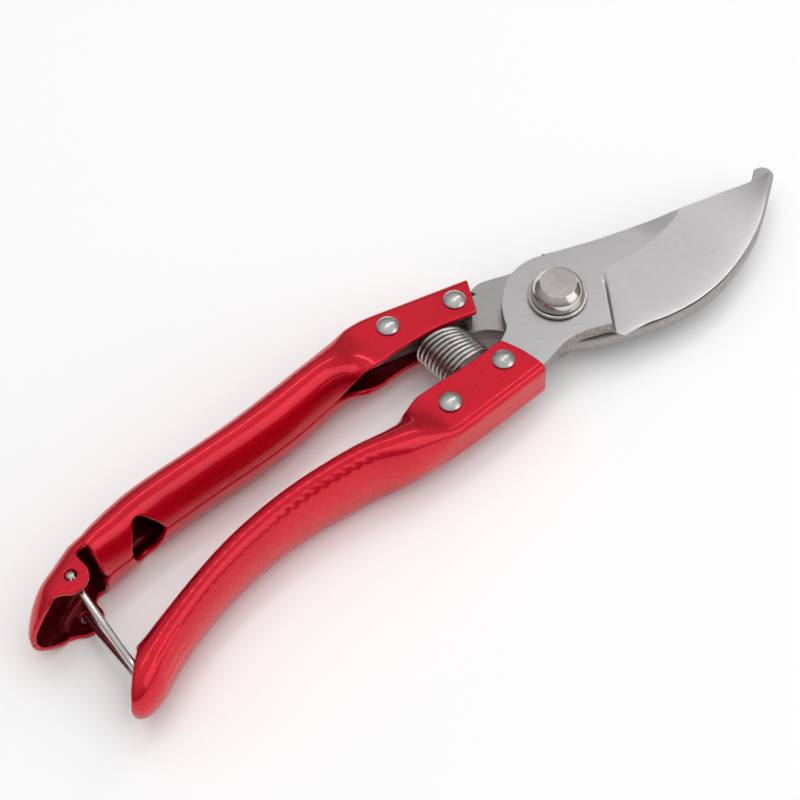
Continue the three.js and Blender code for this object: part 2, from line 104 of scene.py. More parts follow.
WIRE_R = 0.85
LOOP_END = (-127.4, -6.6)
LOOP_HALF = 3.4
EAR_R = 4.25
SLOT_X = -119.95
SLOT_HALF = 1.65
UPPER_SLOT_TOP = 20.9
LOWER_SLOT_TOP = 19
RIM_R = 0.34
THROUGH = 20

# ---- Small geometry helpers ----


def place(points):
    return (np.asarray(points, float) * MM + PIVOT).tolist()


def spline(points, count):
    """A uniform Catmull-Rom curve through 2-D points, with count steps in all."""
    pts = np.asarray(points, float)
    last = len(pts) - 1
    out = []
    for k in range(count + 1):
        at = last * k / count
        i = min(int(at), last - 1)
        t = at - i
        p0, p1, p2, p3 = (pts[min(max(i + d, 0), last)] for d in (-1, 0, 1, 2))
        if i == 0:
            p0 = p1
        if i == last - 1:
            p3 = p2
        v0 = (p2 - p0) / 2
        v1 = (p3 - p1) / 2
        out.append(
            (2 * p1 - 2 * p2 + v0 + v1) * t**3 + (-3 * p1 + 3 * p2 - 2 * v0 - v1) * t**2 + v0 * t + p1
        )
    return [tuple(p) for p in out]


def arc(cx, cy, radius, start, end, count):
    angles = [math.radians(start + (end - start) * i / count) for i in range(count + 1)]
    return [(cx + radius * math.cos(a), cy + radius * math.sin(a)) for a in angles]


def circle(cx, cy, radius, count=48):
    return arc(cx, cy, radius, 0, 360 - 360 / count, count - 1)


def track(rows, column):
    """Smooth interpolation of one column of a table whose first column falls."""
    xs = np.array([row[0] for row in rows], float)
    vs = np.array([row[column] for row in rows], float)
    n = len(rows)
    slope = np.array([
        (vs[min(i + 1, n - 1)] - vs[max(i - 1, 0)]) / (xs[min(i + 1, n - 1)] - xs[max(i - 1, 0)])
        for i in range(n)
    ])

    def value(x):
        x = np.asarray(x, float)
        i = np.clip(np.searchsorted(-xs, -x, side="left"), 1, n - 1)
        span = xs[i] - xs[i - 1]
        t = (x - xs[i - 1]) / span
        t2 = t * t
        t3 = t2 * t
        return (
            vs[i - 1] * (2 * t3 - 3 * t2 + 1)
            + vs[i] * (3 * t2 - 2 * t3)
            + slope[i - 1] * span * (t3 - 2 * t2 + t)
            + slope[i] * span * (t3 - t2)
        )

    return value


def smoothstep(low, high, x):
    t = np.clip((x - low) / (high - low), 0, 1)
    return t * t * (3 - 2 * t)


# ---- Mesh helpers ----


def new_object(name, mesh):
    piece = bpy.data.objects.new(name, mesh)
    bpy.context.scene.collection.objects.link(piece)
    return piece


def smooth_by_angle(mesh, degrees):
    mesh.polygons.foreach_set("use_smooth", [True] * len(mesh.polygons))
    mesh.set_sharp_from_angle(angle=math.radians(degrees))
    mesh.update()


def from_lists(name, points, faces, degrees=40):
    mesh = bpy.data.meshes.new(name)
    mesh.from_pydata(place(points), [], faces)
    mesh.validate()
    smooth_by_angle(mesh, degrees)
    return new_object(name, mesh)


def counter_clockwise(outline):
    area = sum(a[0] * b[1] - b[0] * a[1] for a, b in zip(outline, outline[1:] + outline[:1]))
    return list(outline) if area > 0 else list(outline)[::-1]


def prism(name, outline, low, high):
    """A straight-sided solid from a 2-D outline, in the pivot frame."""
    ring = counter_clockwise(outline)
    n = len(ring)
    points = [(x, y, low) for x, y in ring] + [(x, y, high) for x, y in ring]
    faces = [list(range(n))[::-1], list(range(n, 2 * n))]
    faces += [[i, (i + 1) % n, n + (i + 1) % n, n + i] for i in range(n)]
    return from_lists(name, points, faces)


def inset(ring, distance):
    """A closed counter-clockwise outline, moved inwards."""
    pts = np.asarray(ring, float)
    before = pts - np.roll(pts, 1, axis=0)
    after = np.roll(before, -1, axis=0)
    before = before / np.linalg.norm(before, axis=1)[:, None]
    after = after / np.linalg.norm(after, axis=1)[:, None]
    normal = np.stack([-before[:, 1] - after[:, 1], before[:, 0] + after[:, 0]], -1)
    return pts + normal * (distance / np.maximum((normal**2).sum(1) / 2, 0.7))[:, None]


def ground_plate(name, outline, low, high, chamfer):
    """A plate with its edges broken by small chamfers."""
    ring = counter_clockwise(outline)
    n = len(ring)
    shrunk = inset(ring, chamfer)
    points = []
    for shape, z in ((shrunk, low), (ring, low + chamfer), (ring, high - chamfer), (shrunk, high)):
        points += [(x, y, z) for x, y in shape]
    faces = [list(range(n))[::-1], list(range(3 * n, 4 * n))]
    for k in (0, n, 2 * n):
        faces += [[k + i, k + (i + 1) % n, k + n + (i + 1) % n, k + n + i] for i in range(n)]
    return from_lists(name, points, faces)


# A face this large is flat. So is a smaller one that lies level.
WIDE_FACE = 30 * MM * MM
SMALL_FLAT = 2 * MM * MM
LEVEL = 0.9999


def keep_flats(piece, degrees):
    """Smooth shading that leaves the large flat faces flat."""
    mesh = piece.data
    smooth_by_angle(mesh, degrees)
    flats = [
        face for face in mesh.polygons
        if face.area > WIDE_FACE or face.area > SMALL_FLAT and abs(face.normal.z) > LEVEL
    ]
    keys = {key for face in flats for key in face.edge_keys}
    for edge in mesh.edges:
        if edge.key in keys:
            edge.use_edge_sharp = True


def cut(piece, cutters):
    """Subtracts the cutters from the piece and deletes them."""
    for tool in cutters:
        step = piece.modifiers.new("cut", "BOOLEAN")
        step.operation = "DIFFERENCE"
        step.solver = "EXACT"
        step.object = tool
    bake(piece)
    for tool in cutters:
        mesh = tool.data
        bpy.data.objects.remove(tool)
        bpy.data.meshes.remove(mesh)


def bake(piece):
    """Applies the modifiers of a piece."""
    graph = bpy.context.evaluated_depsgraph_get()
    mesh = bpy.data.meshes.new_from_object(piece.evaluated_get(graph))
    old = piece.data
    piece.modifiers.clear()
    piece.data = mesh
    bpy.data.meshes.remove(old)
    mesh.name = piece.name


WELD = 0.004 * MM


def soften(piece, width, segments, degrees):
    """Rounds the sharp edges of a piece."""
    bm = bmesh.new()
    bm.from_mesh(piece.data)
    bmesh.ops.remove_doubles(bm, verts=bm.verts, dist=WELD)
    bmesh.ops.dissolve_degenerate(bm, edges=bm.edges, dist=WELD)
    bm.to_mesh(piece.data)
    bm.free()
    step = piece.modifiers.new("bevel", "BEVEL")
    step.width = width * MM
    step.segments = segments
    step.limit_method = "ANGLE"
    step.angle_limit = math.radians(degrees)
    step.use_clamp_overlap = True
    bake(piece)
    smooth_by_angle(piece.data, 30)


def fillet(profile, radius, steps=4):
    """Rounds the inner corners of an open profile of (radius, z) pairs."""
    out = [profile[0]]
    for a, b, c in zip(profile, profile[1:], profile[2:]):
        a, b, c = (Vector(p) for p in (a, b, c))
        u = a - b
        v = c - b
        turn = u.angle(v)
        if turn > math.radians(165):
            out.append(tuple(b))
            continue
        reach = min(radius / math.tan(turn / 2), 0.45 * u.length, 0.45 * v.length)
        start = b + u.normalized() * reach
        end = b + v.normalized() * reach
        for k in range(steps + 1):
            t = k / steps
            point = start * (1 - t) ** 2 + b * 2 * t * (1 - t) + end * t**2
            out.append(tuple(point))
    out.append(profile[-1])
    return out


def turned(name, profile, at=(0, 0), sides=96, closed=False, radius=0.15):
    """A turned piece about the Z axis through at. A closed profile makes a ring."""
    if closed:
        profile = fillet([*profile, profile[0], profile[1]], radius)[1:-1]
    else:
        profile = fillet(profile, radius)
    points = []
    rings = []
    for r, z in profile:
        if r < 1e-6:
            rings.append([len(points)])
            points.append((at[0], at[1], z))
            continue
        rings.append(list(range(len(points), len(points) + sides)))
        for k in range(sides):
            a = 2 * math.pi * k / sides
            points.append((at[0] + r * math.cos(a), at[1] + r * math.sin(a), z))
    pairs = list(zip(rings, rings[1:]))
    if closed:
        pairs.append((rings[-1], rings[0]))
    faces = []
    for low, high in pairs:
        for k in range(sides):
            m = (k + 1) % sides
            if len(low) == 1:
                faces.append([low[0], high[m], high[k]])
            elif len(high) == 1:
                faces.append([low[k], low[m], high[0]])
            else:
                faces.append([low[k], low[m], high[m], high[k]])
    return from_lists(name, points, faces)


END_R = 0.72
END_SETBACK = 0.28


def tube(name, path, radius, sides):
    """A round wire along a list of 3-D points, with chamfered ends."""
    path = [Vector(p) for p in path]
    ways = []
    for i in range(len(path)):
        ways.append((path[min(i + 1, len(path) - 1)] - path[max(i - 1, 0)]).normalized())
    across = ways[0].orthogonal().normalized()
    rings = []
    points = []

    def ring(centre, way, r):
        nonlocal across
        across = (across - way * across.dot(way)).normalized()
        up = way.cross(across)
        rings.append(list(range(len(points), len(points) + sides)))
        for k in range(sides):
            a = 2 * math.pi * k / sides
            points.append(tuple(centre + (across * math.cos(a) + up * math.sin(a)) * r))

    ring(path[0], ways[0], radius * END_R)
    ring(path[0] + ways[0] * radius * END_SETBACK, ways[0], radius)
    for centre, way in zip(path[1:-1], ways[1:-1]):
        ring(centre, way, radius)
    ring(path[-1] - ways[-1] * radius * END_SETBACK, ways[-1], radius)
    ring(path[-1], ways[-1], radius * END_R)
    faces = []
    for low, high in zip(rings, rings[1:]):
        for k in range(sides):
            m = (k + 1) % sides
            faces.append([low[k], low[m], high[m], high[k]])
    faces.append(rings[0][::-1])
    faces.append(rings[-1])
    return from_lists(name, points, faces, 50)


# ---- Pressed sheet handles ----

WALL_STEPS = 5
BEND_STEPS = 2
WEB_STEPS = 4
SECTION = 2 * (WALL_STEPS + BEND_STEPS) + WEB_STEPS


def outer_surface(rows):
    """The handle's outer face as a function of x and of the step j round the section."""
    side = 1 if rows[0][1] > rows[0][2] else -1
    columns = [track(rows, c) for c in range(1, 6)]
    half = SECTION / 2

    def point(x, j):
        x = np.asarray(x, float)
        j = np.asarray(j, float)
        web, edge, height, bend, roll = (c(x) for c in columns)
        bend = np.minimum(bend, height * 0.98)
        s = half - np.abs(j - half)
        up = np.where(j <= half, 1, -1)
        turn = np.clip((s - WALL_STEPS) / BEND_STEPS, 0, 1) * math.pi / 2
        down = np.clip((s - WALL_STEPS - BEND_STEPS) / (WEB_STEPS / 2), 0, 1)
        along = np.clip(s / WALL_STEPS, 0, 1)
        wall_y = edge + (web - side * bend - edge) * along
        open_y = np.where(s <= WALL_STEPS, wall_y, web - side * bend * (1 - np.sin(turn)))
        open_z = (height - bend * (1 - np.cos(turn))) * (s <= WALL_STEPS + BEND_STEPS)
        open_z = open_z + (height - bend) * (1 - down) * (s > WALL_STEPS + BEND_STEPS)
        start = np.arcsin(np.clip(SEAM_GAP / 2 / height, 0, 0.9))
        angle = start + (2 * math.pi - 2 * start) * j / SECTION
        tube_y = (web + edge) / 2 + (edge - web) / 2 * np.cos(angle)
        tube_z = height * np.sin(angle)
        mix = np.clip(roll, 0, 1)
        y = open_y + (tube_y - open_y) * mix
        z = up * open_z + (tube_z - up * open_z) * mix
        return np.stack([x, y, side * z], -1)

    return point


def slopes(point, x, j, lows, highs):
    """Derivatives of the face along x and j, and the unit normal."""
    dx = 0.05
    dj = 0.12
    x0 = np.clip(x - dx, *lows)
    x1 = np.clip(x + dx, *lows)
    j0 = np.clip(j - dj, *highs)
    j1 = np.clip(j + dj, *highs)
    along = (point(x1, j) - point(x0, j)) / (x1 - x0)[..., None]
    around = (point(x, j1) - point(x, j0)) / (j1 - j0)[..., None]
    normal = np.cross(along, around)
    normal /= np.linalg.norm(normal, axis=-1)[..., None]
    return along, around, normal


def inside_distance(outline, x, y):
    """Distance to a closed outline: positive inside it."""
    pts = np.asarray(outline, float)
    shape = x.shape
    x = x.ravel()
    y = y.ravel()
    best = np.full(x.shape, 1e9)
    inside = np.zeros(x.shape, bool)
    for a, b in zip(pts, np.roll(pts, -1, axis=0)):
        d = b - a
        t = np.clip(((x - a[0]) * d[0] + (y - a[1]) * d[1]) / (d @ d), 0, 1)
        best = np.minimum(best, np.hypot(x - a[0] - t * d[0], y - a[1] - t * d[1]))
        crosses = (a[1] > y) != (b[1] > y)
        with np.errstate(divide="ignore", invalid="ignore"):
            inside ^= crosses & (x < a[0] + (y - a[1]) / (b[1] - a[1]) * d[0])
    return np.where(inside, best, -best).reshape(shape)


def sheet_handle(name, rows, stations, cuts, relief):
    """A pressed sheet with rounded rims: cuts(x, y, j) lists the fields that are positive where
    metal is cut away, and relief(x, j) is how far the face stands proud."""
    point = outer_surface(rows)
    lows = (rows[-1][0], rows[0][0])
    highs = (0, SECTION)
    j_line = np.linspace(0, SECTION, SECTION * 9 + 1)
    grid_x, grid_j = np.meshgrid(stations, j_line, indexing="ij")

    def fields(x, j):
        p = point(x, j)
        ends = [x - lows[1], lows[0] - x, -j, j - SECTION]
        return np.stack([*cuts(x, p[..., 1], j), *ends])

    def depth(x, j, with_way=False):
        """How far outside the metal each place is, along the face, and the way out."""
        along, around, normal = slopes(point, x, j, lows, highs)
        step = 0.03
        f = fields(x, j)
        fx = (fields(x + step, j) - fields(x - step, j)) / (2 * step)
        fj = (fields(x, j + step) - fields(x, j - step)) / (2 * step)
        e = (along * along).sum(-1)
        g = (around * around).sum(-1)
        c = (along * around).sum(-1)
        det = e * g - c * c
        a = (g * fx - c * fj) / det
        b = (e * fj - c * fx) / det
        steep = np.sqrt(np.maximum(a * fx + b * fj, 0.06))
        value = f / steep
        most = value.argmax(0)

        def pick(v):
            return np.take_along_axis(v, most[None], 0)[0]

        if not with_way:
            return pick(value)
        way = along * pick(a)[..., None] + around * pick(b)[..., None]
        way /= np.linalg.norm(way, axis=-1)[..., None]
        return pick(value), way, normal

    value = depth(grid_x, grid_j) + RIM_R
    px = grid_x.copy()
    pj = grid_j.copy()
    # Where the limit passes close to a grid point, the point moves onto it.
    snapped = np.zeros(value.shape, bool)
    near = np.full(value.shape, 0.22)
    base = value.copy()
    for di, dj in ((1, 0), (-1, 0), (0, 1), (0, -1)):
        src_i = slice(max(-di, 0), value.shape[0] - max(di, 0))
        dst_i = slice(max(di, 0), value.shape[0] - max(-di, 0))
        src_j = slice(max(-dj, 0), value.shape[1] - max(dj, 0))
        dst_j = slice(max(dj, 0), value.shape[1] - max(-dj, 0))
        here = base[src_i, src_j]
        there = base[dst_i, dst_j]
        with np.errstate(divide="ignore", invalid="ignore"):
            t = np.where((here < 0) != (there < 0), here / (here - there), 1.0)
        closer = t < near[src_i, src_j]
        bx = grid_x[src_i, src_j]
        bj = grid_j[src_i, src_j]
        px[src_i, src_j] = np.where(closer, bx + t * (grid_x[dst_i, dst_j] - bx), px[src_i, src_j])
        pj[src_i, src_j] = np.where(closer, bj + t * (grid_j[dst_i, dst_j] - bj), pj[src_i, src_j])
        near[src_i, src_j] = np.where(closer, t, near[src_i, src_j])
        snapped[src_i, src_j] |= closer
    value = np.where(snapped, 0.0, base)
    places = []
    index = {}

    def corner(i, k):
        key = (i, k)
        if key not in index:
            index[key] = len(places)
            places.append((px[i, k], pj[i, k]))
        return index[key]

    def crossing(a, b):
        key = (min(a, b), max(a, b))
        if key not in index:
            va = value[a]
            t = va / (va - value[b])
            index[key] = len(places)
            places.append((
                grid_x[a] + t * (grid_x[b] - grid_x[a]),
                grid_j[a] + t * (grid_j[b] - grid_j[a]),
            ))
        return index[key]

    polygons = []
    keep = value <= 0
    strict = value < 0
    for i in range(value.shape[0] - 1):
        for k in range(value.shape[1] - 1):
            around = ((i, k), (i, k + 1), (i + 1, k + 1), (i + 1, k))
            if not any(strict[c] for c in around):
                continue
            loop = []
            for n, c in enumerate(around):
                d = around[(n + 1) % 4]
                if keep[c]:
                    loop.append(corner(*c))
                if (value[c] < 0 < value[d]) or (value[d] < 0 < value[c]):
                    loop.append(crossing(c, d))
            if len(loop) > 2:
                polygons.append(loop)
    places = np.array(places)
    at_x, at_j = places[:, 0], places[:, 1]
    _, way, normal = depth(at_x, at_j, True)
    base = point(at_x, at_j)
    outer = base + normal * relief(at_x, at_j)[:, None]
    inner = base - normal * SHEET
    # The stations run to the rear, so this tells which way round the loops go.
    a, b, c = (outer[polygons[len(polygons) // 2][n]] for n in range(3))
    if np.dot(np.cross(b - a, c - a), normal[polygons[len(polygons) // 2][0]]) < 0:
        polygons = [loop[::-1] for loop in polygons]
    directed = dict.fromkeys(
        edge for loop in polygons for edge in zip(loop, loop[1:] + loop[:1])
    )
    rim_edges = [edge for edge in directed if (edge[1], edge[0]) not in directed]
    rim = sorted({v for edge in rim_edges for v in edge})
    links = {v: [] for v in rim}
    for u, v in rim_edges:
        links[u].append(v)
        links[v].append(u)
    for _ in range(3):
        turned_way = way.copy()
        for v in rim:
            mixed = way[v] * 2 + sum(way[w] for w in links[v])
            mixed -= normal[v] * (mixed @ normal[v])
            size = np.linalg.norm(mixed)
            if size > 1e-6:
                turned_way[v] = mixed / size
        way = turned_way
    count = len(places)
    points = [*outer, *inner]
    rings = {v: [v] for v in rim}
    bends = [math.radians(d) for d in (30, 60, 90)]
    for v in rim:
        for low in (False, True):
            for turn in bends if not low else bends[::-1]:
                down = RIM_R * (1 - math.cos(turn))
                if low:
                    down = SHEET - down
                rings[v].append(len(points))
                points.append(base[v] + way[v] * RIM_R * math.sin(turn) - normal[v] * down)
        rings[v].append(count + v)
    faces = list(polygons)
    faces += [[count + v for v in loop[::-1]] for loop in polygons]
    for u, v in rim_edges:
        for k in range(len(rings[u]) - 1):
            faces.append([rings[v][k], rings[u][k], rings[u][k + 1], rings[v][k + 1]])
    piece = from_lists(name, points, faces, 60)
    # The inner faces take the second material: darker reds that are painted shade inside the channel.
    inside = [0] * len(faces)
    inside[len(polygons):2 * len(polygons)] = [1] * len(polygons)
    piece.data.polygons.foreach_set("material_index", inside)
    return piece


COARSE = 1.0
FINE = 0.42
FLARE_X = -38


def stations(front, fine_from, rear):
    """Places along a handle, close together from fine_from to the rear."""
    parts = [
        np.linspace(a, b, int((a - b) / step) + 1)[:-1]
        for a, b, step in ((front, fine_from, COARSE), (fine_from, rear, FINE))
    ]
    return np.concatenate([*parts, [rear]])


def checker(x, s, pitch, height):
    """Small pressed dimples in a checker pattern."""
    return height * (np.cos(2 * math.pi * x / pitch) * np.cos(2 * math.pi * s / pitch))


# Rows of x, y of the web, y of the open edge, half height, bend radius, and how far the section
# has rolled from an open channel (0) to a tube (1).
UPPER_ROWS = [
    (-8, 16.5, 6, CHANNEL_H, BEND_R, 0),
    (-16.6, 19.4, 8.8, CHANNEL_H, BEND_R, 0),
    (-26.6, 22.8, 12.1, CHANNEL_H, BEND_R, 0),
    (-36.6, 26.1, 13.75, CHANNEL_H, BEND_R, 0),
    (-41, 26.8, 13.9, CHANNEL_H, BEND_R, 0),
    (-45, 26.6, 14.4, 6.6, 2.6, 0.3),
    (-49, 26.5, 15.2, 8.4, 3.5, 0.75),
    (-54, 26.2, 15.4, 9.6, 4, 1),
    (-66.6, 25.8, 14.85, 10.1, 4, 1),
    (-76.6, 25.8, 15.15, 10.1, 4, 1),
    (-86.6, 26.3, 15.95, 10.1, 4, 1),
    (-96.6, 27.2, 16.5, 10.1, 4, 1),
    (-104, 27.5, 16.8, 10.1, 4, 1),
    (-111, 27, 16.3, 10.1, TAIL_BEND_R, 1),
    (-117.4, 25.7, 16.2, 10.2, TAIL_BEND_R, 1),
    (-121.6, 24.2, 14, GRIP_H, TAIL_BEND_R, 0),
    (-126.6, 22.4, 12, GRIP_H, TAIL_BEND_R, 0),
    (-131, 20.8, 11, GRIP_H, TAIL_BEND_R, 0),
    (-134.4, 19.5, 11, 8.1, TAIL_BEND_R, 0),
    (-137.1, 17.9, 11, 5.8, TAIL_BEND_R, 0),
    (-138.6, 16.3, 11, 3.9, 3.8, 0),
    (-139.2, 14.6, 11, 2.7, 2.6, 0),
]
LOWER_ROWS = [
    (-12, -12.75, -0.2, CHANNEL_H, BEND_R, 0),
    (-26.6, -12.3, 0.05, CHANNEL_H, BEND_R, 0),
    (-36.6, -11.95, 1.15, CHANNEL_H, BEND_R, 0),
    (-42, -11.6, 1.6, CHANNEL_H, BEND_R, 0),
    (-46, -11.3, 1.1, 6.8, 2.6, 0.35),
    (-50, -10.9, 0.6, 8.4, 3.5, 0.8),
    (-54, -10.1, 0.9, 9.3, 4, 1),
    (-61.6, -7.4, 2.1, GRIP_H, 4, 1),
    (-70, -5.6, 3.3, GRIP_H, 4, 1),
    (-78, -4.4, 4.2, 9.9, 4, 1),
    (-86.6, -3.9, 4.5, 9.3, 4, 1),
    (-96.6, -4.4, 3.8, 9, 4, 1),
    (-106.6, -5.95, 2.05, 8.7, 4, 1),
    (-116.6, -8.8, -0.15, 8.4, 4, 1),
    (-121.6, -10.8, -1.3, 8.2, 4, 1),
    (-125.6, -12.7, -2.1, 8, 4, 1),
    (-129, -13.5, -4.2, 7.3, 4, 1),
    (-131.4, -13.5, -7, 5.8, 4, 1),
    (-133, -12.7, -9.3, 3.8, 4, 1),
    (-133.7, -11.6, -10.7, 1, 4, 1),
]


def rivet_places(side):
    return [RIVETS[f"{side}_{end}_rivet"] for end in ("front", "rear")]


def hole_fields(x, y, side):
    return [RIVET_SHANK_R + GAP - np.hypot(x - at[0], y - at[1]) for at in rivet_places(side)]


UPPER_STEP = 2.35
LOWER_STEP = 2.1
GROOVE_DEPTH = 0.09


def upper_handle():
    front = [(-16.8, 5), (-16.8, 8.85), (-11.7, 17.75), (-11.7, 30), (0, 30), (0, 5)]
    mouth = [
        (-150, 0),
        (SLOT_X + SLOT_HALF, 0),
        *arc(SLOT_X, LOWER_SLOT_TOP - SLOT_HALF, SLOT_HALF, 0, 180, 16),
        (SLOT_X - SLOT_HALF, 17.2),
        *arc(-125.7, 16.9, EAR_R, -15, -140, 24),
        (-130.3, 14.8),
        (-131.2, 15.1),
        (-133.5, 14.6),
        (-150, 14.3),
    ]
    slot_end = [
        (SLOT_X - SLOT_HALF, 17.5),
        (SLOT_X + SLOT_HALF, 17.5),
        *arc(SLOT_X, UPPER_SLOT_TOP - SLOT_HALF, SLOT_HALF, 0, 180, 16),
    ]
    window = [
        (-110.7, 10),
        (-110.7, 16.3),
        *spline([(-108.8, 17.7), (-107.9, 18.6), (-106.5, 19), (-105.3, 18.6), (-103.9, 17.7)], 20),
        (-101.8, 16.7),
        (-101.8, 10),
    ]

    def cuts(x, y, j):
        upper_wall = np.where(j < SECTION / 2, inside_distance(slot_end, x, y), -9)
        return [
            inside_distance(front, x, y),
            inside_distance(mouth, x, y),
            upper_wall,
            inside_distance(window, x, y),
            PIN_HOLE_R - np.hypot(x - PIN[0], y - PIN[1]),
            *hole_fields(x, y, "upper"),
        ]

    def relief(x, j):
        s = (j - SECTION / 2) * UPPER_STEP
        zone = smoothstep(-97, -91, x) * (1 - smoothstep(-56, -51, x))
        zone = zone * (1 - smoothstep(9.5, 11.5, np.abs(s)))
        return checker(x, s, 2.5, 0.028) * zone

    line = stations(UPPER_ROWS[0][0], FLARE_X, UPPER_ROWS[-1][0])
    return sheet_handle("upper_handle_shell", UPPER_ROWS, line, cuts, relief)


def lower_handle():
    front = [
        (-18.3, 8),
        (-18.3, -0.65),
        (-17.5, -3.05),
        (-16.8, -5.55),
        (-16.3, -9.15),
        (-16, -20),
        (0, -20),
        (0, 8),
    ]
    mouth = [
        (-124.6, 5),
        *arc(-126.1, -3, 1.5, 0, -45, 8),
        (-131.8, -10.1),
        (-133, -11.4),
        (-140, -11.4),
        (-140, 5),
    ]

    def cuts(x, y, j):
        return [inside_distance(front, x, y), inside_distance(mouth, x, y), *hole_fields(x, y, "lower")]

    def relief(x, j):
        s = (j - SECTION / 2) * LOWER_STEP
        dimples = smoothstep(-114.5, -112.5, x) * (1 - smoothstep(-62, -57, x))
        dimples = dimples * (1 - smoothstep(11.5, 14, np.abs(s)))
        grooves = smoothstep(-125, -123.5, x) * (1 - smoothstep(-116.5, -115, x))
        grooves = grooves * (1 - smoothstep(11.5, 12.5, np.abs(s)))
        ridge = smoothstep(0.1, 0.9, np.cos(2 * math.pi * s / LOWER_STEP))
        return checker(x, s, 2.6, 0.032) * dimples - GROOVE_DEPTH * grooves * ridge

    line = stations(LOWER_ROWS[0][0], FLARE_X, LOWER_ROWS[-1][0])
    return sheet_handle("lower_handle_shell", LOWER_ROWS, line, cuts, relief)


# ---- Blades ----

SPINE = [TIP, (57.7, -7.1), (48.4, -4.6), (38.4, -1.8), (28.4, 1.4), (18.4, 5.2), (10, 9), (6, 11)]
EDGE = [
    (4.8, -16.65),
    (10.8, -17.85),
    (17, -20),
    (25, -21.5),
    (34, -21.3),
    (43.4, -19.25),
    (52, -15.85),
    (58.4, -11.95),
    TIP,
]
GRIND_END = 39.1
HEEL_X = 12.8
HEEL_FOOT = (3.4, -13.85)
HEEL_RUN = 1.1
SHOULDER_DROP = 0.3
HOLLOW = 1.15
TIP_THINNING = 0.55
DIP_X = 25
DIP_FULL_X = 33
DIP_SLOPE = 0.07
CLEAR = 0.02
ACROSS = 34
BEYOND = 8
GRIND_LINE = [
    (70, -6),
    (52, -3.6),
    (GRIND_END, -2),
    (36.5, -3.05),
    (33.4, -3.65),
    (30.3, -3.95),
    (23.4, -3.95),
    (20, -3.75),
    (17.7, -3.15),
    (15.4, -2.55),
    (HEEL_X, -1.85),
]
HEEL_LINE = [
    (HEEL_X, -1.85),
    (10.8, -3.65),
    (9.4, -5.35),
    (8, -7.25),
    (6.5, -9.05),
    (5.1, -11.05),
    HEEL_FOOT,
    (2.2, -16),
]


def grind_cutter():
    """The space that the grinding wheel took: from the cutting edge up to the grind line, with a
    short run up at the heel. Between the grind line and the spine it leaves a shallow dip."""
    edge = track(EDGE[::-1], 1)
    root = track(GRIND_LINE, 1)
    heel = track(HEEL_LINE, 1)
    spine = track(SPINE, 1)
    spans = (np.linspace(2.3, HEEL_X, 44), np.linspace(HEEL_X, GRIND_END, 60)[1:],
             np.linspace(GRIND_END, TIP[0], 44)[1:], [68])
    xs = np.concatenate(spans)
    points = []
    for x in xs:
        low = float(edge(min(max(x, EDGE[0][0]), TIP[0])))
        crest = float(spine(min(x, TIP[0])))
        full = float(root(max(x, HEEL_X))) - low
        line = float(heel(x)) if x < HEEL_X else min(low + full, crest)
        thin = 1 - TIP_THINNING * max(x - GRIND_END, 0) / (TIP[0] - GRIND_END)
        fall = DIP_SLOPE * smoothstep(DIP_X, DIP_FULL_X, x)
        fall *= 1 - smoothstep(GRIND_END - 1.5, GRIND_END, x)
        for k in range(ACROSS + 1):
            y = low - 1 + (line - low + 1) * k / ACROSS
            v = max((y - low) / full, 0)
            z = EDGE_Z + (PLATE_TOP - EDGE_Z) * thin * v**HOLLOW
            past = (x - HEEL_FOOT[0]) * 0.8 - (y - HEEL_FOOT[1]) * 0.6
            shoulder = PLATE_TOP - SHOULDER_DROP * (1 - smoothstep(0.85, 1, v))
            z += (shoulder - z) * (1 - smoothstep(0, HEEL_RUN, past)) * (v < 1)
            points.append((x, y, z))
        for k in range(BEYOND + 1):
            y = line + CLEAR / 10 + (max(crest, line) + 1 - line) * k / BEYOND
            flat = PLATE_TOP + CLEAR - fall * (y - line)
            ground = EDGE_Z + (PLATE_TOP - EDGE_Z) * thin * ((y - low) / full) ** HOLLOW
            points.append((x, y, flat if x < GRIND_END else ground))
        points.append((x, y, THROUGH / 2))
        points.append((x, low - 1, THROUGH / 2))
    ring = ACROSS + BEYOND + 4
    faces = []
    for i in range(len(xs) - 1):
        for k in range(ring):
            a = i * ring + k
            b = i * ring + (k + 1) % ring
            faces.append([a, b, b + ring, a + ring])
    faces.append(list(range(ring))[::-1])
    last = (len(xs) - 1) * ring
    faces.append([last + k for k in range(ring)])
    return from_lists("grind", points, faces)


def pivot_cutter():
    return prism("hole", circle(0, 0, PIVOT_HOLE_R), -THROUGH, THROUGH)


def rivet_cutters(side):
    return [prism("hole", circle(*at, RIVET_SHANK_R + GAP), -THROUGH, THROUGH) for at in rivet_places(side)]


def cutting_blade():
    outline = [
        *spline(SPINE, 70),
        *arc(0, 0, DISC_R, 58, 118, 20),
        *spline([(-7.5, 9.8), (-10.6, 7.35), (-12.9, 4.35), (-14.6, 1.8), (-18.3, 0.1)], 20),
        (-20.2, -1),
        (-23.5, -1),
        (-23.5, 2.6),
        (-29.5, 2.6),
        (-29.5, -1),
        (-42.5, -0.9),
        *arc(-42.5, -4.8, 3.9, 90, 270, 16),
        (-20, -9.4),
        *spline([(-16.5, -10.9), (-13.2, -10.65), (-6.6, -9.95), (-1.6, -11.35), HEEL_FOOT], 30),
        *spline(EDGE, 80)[:-1],
    ]
    piece = ground_plate("cutting_blade_ground", outline, PLATE_GAP, PLATE_TOP, 0.12)
    cut(piece, [grind_cutter(), pivot_cutter(), *rivet_cutters("lower")])
    keep_flats(piece, 25)
    return piece


UPPER_START = Vector(RIVETS["upper_front_rivet"])
UPPER_LINE = (Vector(RIVETS["upper_rear_rivet"]) - UPPER_START).normalized()
TANG_OUT = 3
TANG_IN = -3.4
TANG_END = 23
NIB_AT = (4.1, 9.7)
NIB_IN = -7.4


def upper_point(along, across):
    u = UPPER_LINE
    return (UPPER_START.x + u.x * along + u.y * across, UPPER_START.y + u.y * along - u.x * across)


